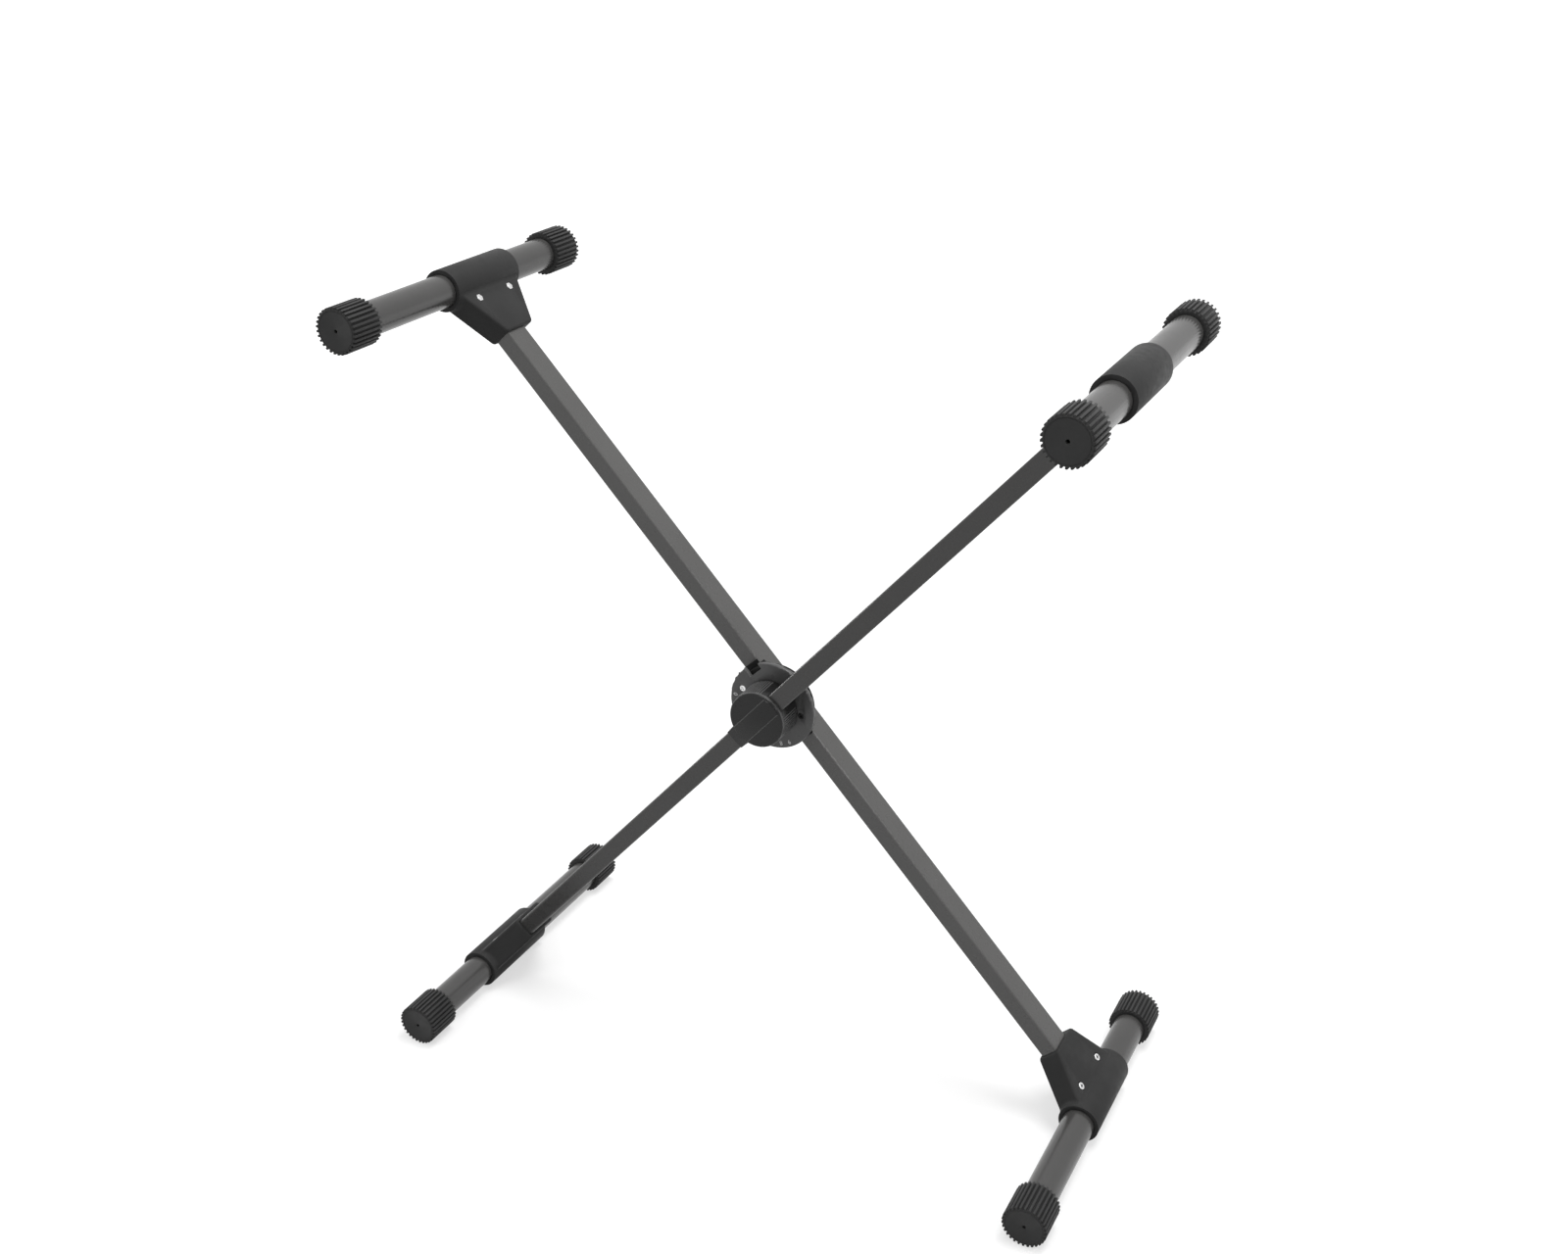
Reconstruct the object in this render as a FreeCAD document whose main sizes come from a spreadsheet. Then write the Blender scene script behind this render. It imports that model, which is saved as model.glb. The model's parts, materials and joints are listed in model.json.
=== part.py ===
"""Folding X keyboard stand: crossed box-section arms on a clamped pivot.

Millimetres, +Z up, +X to the player's right, +Y away from the player.
The floor is Z = 0, the tubes are centred on Y = 0 and the pivot axis runs along Y above X = 0.
The front frame is the arm from lower left to upper right with its two tubes,
the rear frame is the arm from lower right to upper left with its two tubes.
"""
import FreeCAD, Part
import os
import re
import Sketcher

Vector = FreeCAD.Vector

# Driving sizes in millimetres, degrees and counts
SIZES = {
    "arm_span": 1076,
    "arm_angle": 48,
    "arm_width": 20,
    "arm_depth": 30,
    "arm_wall": 1.2,
    "arm_corner": 2.4,
    "tube_diameter": 34,
    "tube_wall": 1.2,
    "tube_length": 372,
    "slip_clearance": 0.05,
    "running_clearance": 0.06,
    "cap_diameter": 46.5,
    "cap_length": 40,
    "cap_end_wall": 4,
    "cap_vent": 4.5,
    "rib_count": 30,
    "rib_height": 1.3,
    "rib_land": 2.6,
    "rib_foot": 3.5,
    "rib_sink": 0.6,
    "sleeve_wall": 4.8,
    "sleeve_length": 104,
    "gusset_thickness": 28,
    "gusset_reach": 69,
    "gusset_shoulder": 12,
    "gusset_base": 100,
    "gusset_mouth": 44,
    "gusset_round": 3,
    "mouth_round": 5,
    "bracket_shift": 4.5,
    "crease_round": 6,
    "socket_floor": 24,
    "screw_spread": 52,
    "screw_height": 25,
    "screw_diameter": 4,
    "screw_clearance": 0.2,
    "screw_head": 8,
    "screw_head_height": 2.4,
    "screw_head_round": 0.7,
    "screw_recess": 2.2,
    "screw_recess_diameter": 9.6,
    "drive_depth": 1.5,
    "drive_width": 1,
    "drive_span": 4.6,
    "nut_flats": 7,
    "nut_height": 3.2,
    "nut_pocket": 3.4,
    "pivot_diameter": 10,
    "pivot_forward": 2.25,
    "washer_thickness": 0.8,
    "washer_diameter": 56,
    "disc_thickness": 5,
    "disc_diameter": 96,
    "disc_rim_round": 1.2,
    "notch_start": 1,
    "notch_end": 18.5,
    "notch_depth": 10.5,
    "saddle_thickness": 10.7,
    "saddle_diameter": 84,
    "strap_width": 21.4,
    "strap_thickness": 1.5,
    "lip_thickness": 3.5,
    "lip_height": 5,
    "lip_length": 86,
    "hub_diameter": 60,
    "hub_plate": 4.6,
    "hub_rim_round": 1.5,
    "tongue_reach": 41,
    "tongue_root": 25,
    "tongue_tip": 21.5,
    "tongue_plate": 1.6,
    "tongue_depth": 20,
    "bolt_head_flats": 19,
    "bolt_head_height": 2.5,
    "bolt_head_clearance": 0.3,
    "bolt_tail": 10,
    "spacer_diameter": 16,
    "upper_screw_across": 16.4,
    "upper_screw_up": 32.4,
    "lower_screw_across": 22,
    "lower_screw_up": 25.2,
    "disc_screw_head": 6.4,
    "disc_screw_length": 12,
    "disc_screw_sink": 0.2,
    "plate_thickness": 2.5,
    "plate_diameter": 24,
    "thrust_thickness": 1.5,
    "thrust_diameter": 18,
    "knob_diameter": 20,
    "knob_length": 13,
    "knob_lobes": 8,
    "knob_scallop": 4.5,
    "knob_scallop_circle": 21.5,
    "knob_round": 0.8,
    "knob_well": 11,
    "insert_diameter": 13.5,
    "insert_length": 8.5,
}

doc = FreeCAD.newDocument("keyboard_stand")
sheet = doc.addObject("Spreadsheet::Sheet", "sizes")
for row, (alias, amount) in enumerate(SIZES.items(), start=1):
    sheet.set(f"A{row}", alias)
    sheet.set(f"B{row}", str(amount))
    sheet.setAlias(f"B{row}", alias)
doc.recompute()

# Heights and depths that several pieces share, as formulas of the driving sizes
STACK = "(washer_thickness + disc_thickness + saddle_thickness)"
ARM_NEAR = f"({STACK} / 2)"
ARM_MIDDLE = f"({STACK} / 2 + arm_depth / 2)"
ARM_FAR = f"({STACK} / 2 + arm_depth)"
DISC_START = f"(washer_thickness - {ARM_NEAR})"
SADDLE_START = f"(washer_thickness + disc_thickness - {ARM_NEAR})"
THRUST_START = f"({ARM_FAR} + plate_thickness)"
KNOB_START = f"({ARM_FAR} + plate_thickness + thrust_thickness)"
HALF_SPREAD = "(arm_span / 2 * cos(arm_angle))"
FOOT_HEIGHT = "(cap_diameter / 2)"
PIVOT_HEIGHT = "(cap_diameter / 2 + arm_span / 2 * sin(arm_angle))"
SUPPORT_HEIGHT = "(cap_diameter / 2 + arm_span * sin(arm_angle))"
PIVOT = ("0", "-pivot_forward", PIVOT_HEIGHT)
TUBE_BORE = "tube_diameter + 2 * slip_clearance"
PIVOT_BORE = "pivot_diameter + 2 * running_clearance"
SCREW_BORE = "screw_diameter + 2 * screw_clearance"

# For each frame: the way it leans, its side of the pivot in depth, the side of its foot and
# of its support, and the flank of its brackets that carries the screw heads
FRONT = {"axis": Vector(0, 1, 0), "depth": "-", "foot": "-", "support": "", "heads": "-"}
REAR = {"axis": Vector(0, -1, 0), "depth": "", "foot": "", "support": "-", "heads": ""}

pieces = []


def formula(text):
    """Point every size name in a formula at its cell in the sheet."""
    return re.sub(r"[a-z_]+", lambda m: f"sizes.{m[0]}" if m[0] in SIZES else m[0], text)


def size(alias):
    """Read one driving size back from the sheet."""
    return float(sheet.get(alias))


def new_body(label):
    body = doc.addObject("PartDesign::Body", label)
    body.Label = label
    return body


def new_piece(label):
    body = new_body(label)
    pieces.append(body)
    return body


def origin_part(body, role):
    return next(f for f in body.Origin.OriginFeatures if f.Role == role)


def new_sketch(body, name, role, offset=None):
    """A sketch on one of the body's own planes, moved along the normal of that plane."""
    sketch = body.newObject("Sketcher::SketchObject", f"{body.Label}_{name}")
    sketch.AttachmentSupport = [(origin_part(body, role), "")]
    sketch.MapMode = "FlatFace"
    if offset:
        sketch.setExpression("AttachmentOffset.Base.z", formula(offset))
    return sketch


def first_guess(point):
    """A rough start for a point, on the right side of each axis."""
    return Vector(*(0 if text == "0" else -1 if text[0] == "-" else 1 for text in point), 0)


def fix_point(sketch, geometry, corner, point):
    """Hold a point at its formulas; a leading minus puts it on the negative side."""
    for kind, axis, text in (("DistanceX", -2, point[0]), ("DistanceY", -1, point[1])):
        if text == "0":
            sketch.addConstraint(Sketcher.Constraint("PointOnObject", geometry, corner, axis))
            continue
        ends = (geometry, corner, -1, 1) if text[0] == "-" else (-1, 1, geometry, corner)
        index = sketch.addConstraint(Sketcher.Constraint(kind, *ends, 1.0))
        sketch.setExpression(f"Constraints[{index}]", formula(text.lstrip("-")))


def draw_circle(sketch, diameter, centre=("0", "0")):
    circle = Part.Circle(first_guess(centre), Vector(0, 0, 1), 1)
    index = sketch.addGeometry(circle, False)
    fix_point(sketch, index, 3, centre)
    gauge = sketch.addConstraint(Sketcher.Constraint("Diameter", index, 2.0))
    sketch.setExpression(f"Constraints[{gauge}]", formula(diameter))


def draw_outline(sketch, points):
    """A closed outline of straight sides through the given points."""
    starts = [first_guess(point) * (1 + turn / 10) for turn, point in enumerate(points)]
    sides = []
    for start, finish in zip(starts, starts[1:] + starts[:1]):
        sides.append(sketch.addGeometry(Part.LineSegment(start, finish), False))
    for side, following in zip(sides, sides[1:] + sides[:1]):
        sketch.addConstraint(Sketcher.Constraint("Coincident", side, 2, following, 1))
    for side, point in zip(sides, points):
        fix_point(sketch, side, 1, point)


def draw_rectangle(sketch, across, up):
    right = f"({across}) / 2"
    top = f"({up}) / 2"
    draw_outline(sketch, [(f"-{right}", f"-{top}"), (right, f"-{top}"), (right, top), (f"-{right}", top)])


def draw_hexagon(sketch, flats, side="", across="0", up="0"):
    """A hexagon with two flats level, its centre on the given side of the vertical axis."""
    reach = f"({flats}) / sqrt(3)"
    half_reach = f"({flats}) / (2 * sqrt(3))"
    half = f"({flats}) / 2"
    if across == "0":
        draw_outline(sketch, [
            (f"-{reach}", "0"), (f"-{half_reach}", f"-{half}"), (half_reach, f"-{half}"),
            (reach, "0"), (half_reach, half), (f"-{half_reach}", half),
        ])
        return
    draw_outline(sketch, [
        (f"{side}({across} - {reach})", up),
        (f"{side}({across} - {half_reach})", f"({up} - {half})"),
        (f"{side}({across} + {half_reach})", f"({up} - {half})"),
        (f"{side}({across} + {reach})", up),
        (f"{side}({across} + {half_reach})", f"({up} + {half})"),
        (f"{side}({across} - {half_reach})", f"({up} + {half})"),
    ])


def add_feature(body, kind, profile, length=None, both=False, back=False):
    """A pad or a pocket of a sketch; a pocket without a length goes right through."""
    feature = body.newObject(f"PartDesign::{kind}", f"{profile.Label}_{kind.lower()}")
    feature.Profile = profile
    feature.SideType = "Symmetric" if both else "One side"
    feature.Reversed = back
    if length is None:
        feature.Type = "ThroughAll"
    else:
        feature.setExpression("Length", formula(length))
    body.Tip = feature
    return feature


def repeat_round(body, feature, count):
    """Repeat a feature in a full ring about the depth axis."""
    pattern = body.newObject("PartDesign::PolarPattern", f"{feature.Label}_ring")
    pattern.Originals = [feature]
    pattern.Axis = (origin_part(body, "Y_Axis"), [""])
    pattern.Angle = 360
    pattern.setExpression("Occurrences", formula(count))
    body.Tip = pattern


def round_edges(body, name, radius, wanted):
    doc.recompute()
    tip = body.Tip
    names = [f"Edge{i}" for i, edge in enumerate(tip.Shape.Edges, start=1) if wanted(edge)]
    fillet = body.newObject("PartDesign::Fillet", f"{body.Label}_{name}")
    fillet.Base = (tip, names)
    fillet.setExpression("Radius", formula(radius))
    body.Tip = fillet


def is_line(edge):
    return edge.Curve.TypeId == "Part::GeomLine"


def runs_along(edge, letter):
    return is_line(edge) and abs(getattr(edge.Curve.Direction, letter)) > 1 - 1e-6


def lies_at_depth(edge, depth):
    return all(abs(vertex.Y - depth) < 1e-4 for vertex in edge.Vertexes)


def place(piece, point, lean=None, axis=Vector(0, 1, 0)):
    """Put a piece at its (x, y, z) formulas, turned about an axis by a formula in degrees."""
    if lean:
        piece.Placement = FreeCAD.Placement(Vector(), FreeCAD.Rotation(axis, 1))
        piece.setExpression("Placement.Rotation.Angle", formula(lean))
    for letter, text in zip("xyz", point):
        piece.setExpression(f"Placement.Base.{letter}", formula(text))


def place_on_pivot(piece, frame):
    place(piece, PIVOT, "90 - arm_angle", frame["axis"])


def place_on_end(piece, frame, end):
    """Put a piece where an arm meets its foot tube or its support tube, leaned with the arm."""
    across = f"{frame[end]}{HALF_SPREAD}"
    depth = f"{frame['depth']}{ARM_MIDDLE} - pivot_forward"
    if end == "foot":
        place(piece, (across, depth, FOOT_HEIGHT), "90 - arm_angle", frame["axis"])
    else:
        place(piece, (across, depth, SUPPORT_HEIGHT), "90 + arm_angle", frame["axis"] * -1)


def make_ring(label, outer, inner, start, length):
    """A plain ring on the pivot axis, from a depth away from the player."""
    body = new_piece(label)
    profile = new_sketch(body, "outline", "XZ_Plane", f"-({start})")
    draw_circle(profile, outer)
    draw_circle(profile, inner)
    add_feature(body, "Pad", profile, length, back=True)
    place(body, PIVOT)


def make_arm(label, frame):
    """A rectangular tube with the pivot hole through its broad sides."""
    body = new_piece(label)
    outer = new_sketch(body, "outer", "XY_Plane")
    draw_rectangle(outer, "arm_width", "arm_depth")
    add_feature(body, "Pad", outer, "arm_span - 2 * socket_floor", both=True)
    round_edges(body, "corners", "arm_corner", lambda edge: runs_along(edge, "z"))
    inner = new_sketch(body, "inner", "XY_Plane")
    draw_rectangle(inner, "arm_width - 2 * arm_wall", "arm_depth - 2 * arm_wall")
    add_feature(body, "Pocket", inner, both=True)
    hole = new_sketch(body, "hole", "XZ_Plane")
    draw_circle(hole, PIVOT_BORE)
    add_feature(body, "Pocket", hole, both=True)
    depth = f"{frame['depth']}{ARM_MIDDLE} - pivot_forward"
    place(body, ("0", depth, PIVOT_HEIGHT), "90 - arm_angle", frame["axis"])


def make_bracket(label, frame, end):
    """A sleeve for the tube, set back from the arm, with a tapered socket and two cross screws."""
    body = new_piece(label)
    sleeve = new_sketch(body, "sleeve", "XZ_Plane", "-bracket_shift")
    draw_circle(sleeve, f"{TUBE_BORE} + 2 * sleeve_wall")
    add_feature(body, "Pad", sleeve, "sleeve_length", both=True)
    base = "gusset_base / 2"
    lips = "gusset_mouth / 2"
    gusset = new_sketch(body, "gusset", "YZ_Plane")
    draw_outline(gusset, [
        (f"-({base} - bracket_shift)", "0"), (f"({base} + bracket_shift)", "0"),
        (f"({base} + bracket_shift)", "gusset_shoulder"), (f"({lips} + bracket_shift)", "gusset_reach"),
        (f"-({lips} - bracket_shift)", "gusset_reach"), (f"-({base} - bracket_shift)", "gusset_shoulder"),
    ])
    add_feature(body, "Pad", gusset, "gusset_thickness", both=True)
    mouth = size("gusset_reach")

    def in_crease(edge):
        return runs_along(edge, "y") and 0 < edge.CenterOfMass.z < mouth - 1

    def at_mouth(edge):
        return runs_along(edge, "x") and edge.CenterOfMass.z > mouth - 1

    def on_slope(edge):
        return is_line(edge) and abs(edge.Curve.Direction.y * edge.Curve.Direction.z) > 0.1

    round_edges(body, "mouth", "mouth_round", at_mouth)
    round_edges(body, "slopes", "gusset_round", on_slope)
    round_edges(body, "creases", "crease_round", in_crease)
    bore = new_sketch(body, "bore", "XZ_Plane")
    draw_circle(bore, TUBE_BORE)
    add_feature(body, "Pocket", bore, both=True)
    socket = new_sketch(body, "socket", "XY_Plane", "gusset_reach")
    draw_rectangle(socket, "arm_width + 2 * slip_clearance", "arm_depth + 2 * slip_clearance")
    add_feature(body, "Pocket", socket, "gusset_reach - socket_floor")
    head_side = frame["heads"]
    nut_side = "" if head_side else "-"
    holes = new_sketch(body, "holes", "YZ_Plane")
    recesses = new_sketch(body, "recesses", "YZ_Plane", f"{head_side}gusset_thickness / 2")
    pockets = new_sketch(body, "pockets", "YZ_Plane", f"{nut_side}gusset_thickness / 2")
    for side, shift in (("-", "- bracket_shift"), ("", "+ bracket_shift")):
        across = f"(screw_spread / 2 {shift})"
        centre = (f"{side}{across}", "screw_height")
        draw_circle(holes, SCREW_BORE, centre)
        draw_circle(recesses, "screw_recess_diameter", centre)
        draw_hexagon(pockets, "nut_flats + 2 * screw_clearance", side, across, "screw_height")
    add_feature(body, "Pocket", holes, both=True)
    add_feature(body, "Pocket", recesses, "screw_recess", back=bool(head_side))
    add_feature(body, "Pocket", pockets, "nut_pocket", back=bool(nut_side))
    place_on_end(body, frame, end)


def make_tube(label, frame, end, height):
    body = new_piece(label)
    profile = new_sketch(body, "outline", "XZ_Plane")
    draw_circle(profile, "tube_diameter")
    draw_circle(profile, "tube_diameter - 2 * tube_wall")
    add_feature(body, "Pad", profile, "tube_length", both=True)
    place(body, (f"{frame[end]}{HALF_SPREAD}", "0", height))


def make_cap(label, frame, end, height, facing):
    """A ribbed cap over a tube end, a flat rib straight down and another straight up."""
    body = new_piece(label)
    core = new_sketch(body, "core", "XZ_Plane")
    draw_circle(core, "cap_diameter - 2 * rib_height")
    add_feature(body, "Pad", core, "cap_length", back=True)
    rib = new_sketch(body, "rib", "XZ_Plane")
    root = "-(cap_diameter / 2 - rib_height - rib_sink)"
    draw_outline(rib, [
        ("-rib_land / 2", "-cap_diameter / 2"), ("rib_land / 2", "-cap_diameter / 2"),
        ("rib_foot / 2", root), ("-rib_foot / 2", root),
    ])
    repeat_round(body, add_feature(body, "Pad", rib, "cap_length", back=True), "rib_count")
    bore = new_sketch(body, "bore", "XZ_Plane", "-cap_end_wall")
    draw_circle(bore, TUBE_BORE)
    add_feature(body, "Pocket", bore)
    vent = new_sketch(body, "vent", "XZ_Plane")
    draw_circle(vent, "cap_vent")
    add_feature(body, "Pocket", vent, both=True)
    depth = f"{facing}(tube_length / 2 + cap_end_wall)"
    if not facing:
        body.Placement = FreeCAD.Placement(Vector(), FreeCAD.Rotation(Vector(0, 0, 1), 180))
    place(body, (f"{frame[end]}{HALF_SPREAD}", depth, height))


def make_screw_form(label, wide_head, length, head_round=None):
    """One cross-head screw along X, the head standing out towards +X from its seat."""
    body = new_body(label)
    head = new_sketch(body, "head", "YZ_Plane")
    draw_circle(head, wide_head)
    add_feature(body, "Pad", head, "screw_head_height")
    if head_round:
        top = size("screw_head_height")
        round_edges(body, "dome", head_round, lambda edge: abs(edge.Vertexes[0].X - top) < 1e-4)
    shank = new_sketch(body, "shank", "YZ_Plane")
    draw_circle(shank, "screw_diameter")
    add_feature(body, "Pad", shank, length, back=True)
    for name, wide, tall in (("slot", "drive_span", "drive_width"), ("cross", "drive_width", "drive_span")):
        slot = new_sketch(body, name, "YZ_Plane", "screw_head_height")
        draw_rectangle(slot, wide, tall)
        add_feature(body, "Pocket", slot, "drive_depth")
    return body


def make_nut_form(label):
    """One hexagon nut along X, from its seat towards -X."""
    body = new_body(label)
    profile = new_sketch(body, "outline", "YZ_Plane")
    draw_hexagon(profile, "nut_flats")
    draw_circle(profile, "screw_diameter + 2 * slip_clearance")
    add_feature(body, "Pad", profile, "nut_height", back=True)
    return body


def make_group(label, form, placements):
    """Several separate copies of one fastener as one piece."""
    copies = []
    for placement in placements:
        copy = form.Shape.copy()
        copy.Placement = placement
        copies.append(copy)
    group = doc.addObject("Part::Feature", label)
    group.Label = label
    group.Shape = Part.makeCompound(copies)
    pieces.append(group)
    return group


def make_bracket_fasteners(label, frame, end):
    facing = -1 if frame["heads"] else 1
    turn = FreeCAD.Rotation(Vector(0, 0, 1), 180 if frame["heads"] else 0)
    flank = size("gusset_thickness") / 2
    seats = {"screws": flank - size("screw_recess"), "nuts": size("nut_pocket") - flank}
    forms = {"screws": bracket_screw, "nuts": bracket_nut}
    for kind, seat in seats.items():
        placements = []
        for side in (-1, 1):
            across = size("bracket_shift") + side * size("screw_spread") / 2
            point = Vector(facing * seat, across, size("screw_height"))
            placements.append(FreeCAD.Placement(point, turn))
        place_on_end(make_group(f"{label}_{kind}", forms[kind], placements), frame, end)


def make_front_hub(label, frame):
    """The round moulding that straddles the front arm, with a short tongue down the arm."""
    body = new_piece(label)
    disc = new_sketch(body, "disc", "XZ_Plane", f"{ARM_FAR} + hub_plate")
    draw_circle(disc, "hub_diameter")
    add_feature(body, "Pad", disc, "hub_plate + arm_depth", back=True)
    face = -(size("arm_depth") + size("hub_plate")) - (
        size("washer_thickness") + size("disc_thickness") + size("saddle_thickness")) / 2
    round_edges(body, "rim", "hub_rim_round", lambda edge: lies_at_depth(edge, face))
    tongue = new_sketch(body, "tongue", "XZ_Plane", f"{ARM_FAR} + tongue_plate")
    draw_outline(tongue, [
        ("-tongue_root / 2", "-hub_diameter / 4"), ("tongue_root / 2", "-hub_diameter / 4"),
        ("tongue_tip / 2", "-tongue_reach"), ("-tongue_tip / 2", "-tongue_reach"),
    ])
    add_feature(body, "Pad", tongue, "tongue_plate + tongue_depth", back=True)
    channel = new_sketch(body, "channel", "XY_Plane")
    side = "(arm_width / 2 + slip_clearance)"
    draw_outline(channel, [
        (f"-{side}", f"-{ARM_FAR}"), (side, f"-{ARM_FAR}"), (side, "0"), (f"-{side}", "0"),
    ])
    add_feature(body, "Pocket", channel, both=True)
    seat = new_sketch(body, "seat", "XZ_Plane", ARM_FAR)
    draw_hexagon(seat, "bolt_head_flats + 2 * bolt_head_clearance")
    add_feature(body, "Pocket", seat, "bolt_head_height + bolt_head_clearance", back=True)
    place_on_pivot(body, frame)


def make_pivot_bolt(label, frame):
    body = new_piece(label)
    head = new_sketch(body, "head", "XZ_Plane", ARM_FAR)
    draw_hexagon(head, "bolt_head_flats")
    add_feature(body, "Pad", head, "bolt_head_height")
    shank = new_sketch(body, "shank", "XZ_Plane", ARM_FAR)
    draw_circle(shank, "pivot_diameter")
    add_feature(body, "Pad", shank, f"{ARM_FAR} + {KNOB_START} + bolt_tail", back=True)
    place_on_pivot(body, frame)


def draw_disc_screw_circles(sketch, diameter):
    draw_circle(sketch, diameter, ("-upper_screw_across", "upper_screw_up"))
    draw_circle(sketch, diameter, ("lower_screw_across", "-lower_screw_up"))


def make_pivot_disc(label, frame):
    """The disc behind the hub, notched to one side of the upper end of the rear arm."""
    body = new_piece(label)
    disc = new_sketch(body, "disc", "XZ_Plane", f"-{DISC_START}")
    draw_circle(disc, "disc_diameter")
    add_feature(body, "Pad", disc, "disc_thickness", back=True)
    round_edges(body, "rim", "disc_rim_round", lambda edge: not is_line(edge))
    bore = new_sketch(body, "bore", "XZ_Plane")
    draw_circle(bore, PIVOT_BORE)
    draw_disc_screw_circles(bore, SCREW_BORE)
    add_feature(body, "Pocket", bore, both=True)
    heads = new_sketch(body, "heads", "XZ_Plane", f"-{DISC_START}")
    draw_disc_screw_circles(heads, "disc_screw_head + 2 * screw_clearance")
    add_feature(body, "Pocket", heads, "screw_head_height + disc_screw_sink")
    notch = new_sketch(body, "notch", "XZ_Plane")
    floor = "(disc_diameter / 2 - notch_depth)"
    draw_outline(notch, [
        ("notch_start", floor), ("notch_end", floor),
        ("notch_end", "disc_diameter"), ("notch_start", "disc_diameter"),
    ])
    add_feature(body, "Pocket", notch, both=True)
    place_on_pivot(body, frame)


def make_rear_saddle(label, frame):
    """The plate between disc and rear arm, with a thin strap on the arm and a lip on each side of it."""
    body = new_piece(label)
    disc = new_sketch(body, "disc", "XZ_Plane", f"-{SADDLE_START}")
    draw_circle(disc, "saddle_diameter")
    add_feature(body, "Pad", disc, "saddle_thickness", back=True)
    strap = new_sketch(body, "strap", "XZ_Plane", f"-{ARM_NEAR}")
    draw_rectangle(strap, "strap_width", "disc_diameter")
    add_feature(body, "Pad", strap, "strap_thickness")
    lips = new_sketch(body, "lips", "XZ_Plane", f"-{ARM_NEAR}")
    inside = "(arm_width / 2 + slip_clearance)"
    outside = "(arm_width / 2 + slip_clearance + lip_thickness)"
    end = "lip_length / 2"
    for side in ("-", ""):
        draw_outline(lips, [
            (f"{side}{inside}", f"-{end}"), (f"{side}{outside}", f"-{end}"),
            (f"{side}{outside}", end), (f"{side}{inside}", end),
        ])
    add_feature(body, "Pad", lips, "lip_height", back=True)
    bore = new_sketch(body, "bore", "XZ_Plane")
    draw_circle(bore, PIVOT_BORE)
    draw_disc_screw_circles(bore, "screw_diameter + 2 * slip_clearance")
    add_feature(body, "Pocket", bore, both=True)
    place_on_pivot(body, frame)


def make_disc_screws(label, frame):
    """Two screws that hold the disc to the saddle, heads facing the player."""
    turn = FreeCAD.Rotation(Vector(0, 0, 1), -90)
    front = size("washer_thickness") - (
        size("washer_thickness") + size("disc_thickness") + size("saddle_thickness")) / 2
    seat = front + size("screw_head_height") + size("disc_screw_sink")
    upper = Vector(-size("upper_screw_across"), seat, size("upper_screw_up"))
    lower = Vector(size("lower_screw_across"), seat, -size("lower_screw_up"))
    placements = [FreeCAD.Placement(point, turn) for point in (upper, lower)]
    place_on_pivot(make_group(label, disc_screw, placements), frame)


def make_clamp_knob(label):
    """A fluted hand nut with a pocket for its threaded insert."""
    body = new_piece(label)
    disc = new_sketch(body, "disc", "XZ_Plane", f"-{KNOB_START}")
    draw_circle(disc, "knob_diameter")
    add_feature(body, "Pad", disc, "knob_length", back=True)
    scallop = new_sketch(body, "scallop", "XZ_Plane")
    draw_circle(scallop, "knob_scallop", ("0", "knob_scallop_circle / 2"))
    repeat_round(body, add_feature(body, "Pocket", scallop, both=True), "knob_lobes")
    round_edges(body, "rims", "knob_round", lambda edge: not is_line(edge))
    insert = new_sketch(body, "insert", "XZ_Plane", f"-{KNOB_START}")
    draw_circle(insert, "insert_diameter + 2 * slip_clearance")
    add_feature(body, "Pocket", insert, "insert_length")
    well = new_sketch(body, "well", "XZ_Plane", f"-{KNOB_START}")
    draw_circle(well, PIVOT_BORE)
    add_feature(body, "Pocket", well, "knob_well")
    place(body, PIVOT)


# The two frames
make_arm("front_arm", FRONT)
make_arm("rear_arm", REAR)
bracket_screw = make_screw_form(
    "bracket_screw_form", "screw_head",
    "gusset_thickness - screw_recess - nut_pocket + nut_height", "screw_head_round")
disc_screw = make_screw_form("disc_screw_form", "disc_screw_head", "disc_screw_length - screw_head_height")
bracket_nut = make_nut_form("bracket_nut_form")
doc.recompute()
ENDS = (
    ("left_foot", FRONT, "foot", FOOT_HEIGHT),
    ("right_support", FRONT, "support", SUPPORT_HEIGHT),
    ("right_foot", REAR, "foot", FOOT_HEIGHT),
    ("left_support", REAR, "support", SUPPORT_HEIGHT),
)
for title, frame, end, height in ENDS:
    make_bracket(f"{title}_bracket", frame, end)
    make_bracket_fasteners(f"{title}_bracket", frame, end)
    make_tube(f"{title}_tube", frame, end, height)
    make_cap(f"{title}_cap_front", frame, end, height, "-")
    make_cap(f"{title}_cap_rear", frame, end, height, "")

# The pivot, from the player's side to the back
ARM_INSIDE = "arm_depth - 2 * arm_wall"
make_front_hub("front_hub", FRONT)
make_pivot_bolt("pivot_bolt", FRONT)
make_ring("front_spacer", "spacer_diameter", PIVOT_BORE, f"arm_wall - {ARM_FAR}", ARM_INSIDE)
make_ring("friction_washer", "washer_diameter", PIVOT_BORE, f"-{ARM_NEAR}", "washer_thickness")
make_pivot_disc("pivot_disc", REAR)
make_disc_screws("disc_screws", REAR)
make_rear_saddle("rear_saddle", REAR)
make_ring("rear_spacer", "spacer_diameter", PIVOT_BORE, f"{ARM_NEAR} + arm_wall", ARM_INSIDE)
make_ring("rear_plate", "plate_diameter", PIVOT_BORE, ARM_FAR, "plate_thickness")
make_ring("thrust_washer", "thrust_diameter", PIVOT_BORE, THRUST_START, "thrust_thickness")
make_clamp_knob("clamp_knob")
make_ring("knob_insert", "insert_diameter", PIVOT_BORE, KNOB_START, "insert_length")
doc.recompute()

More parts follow.
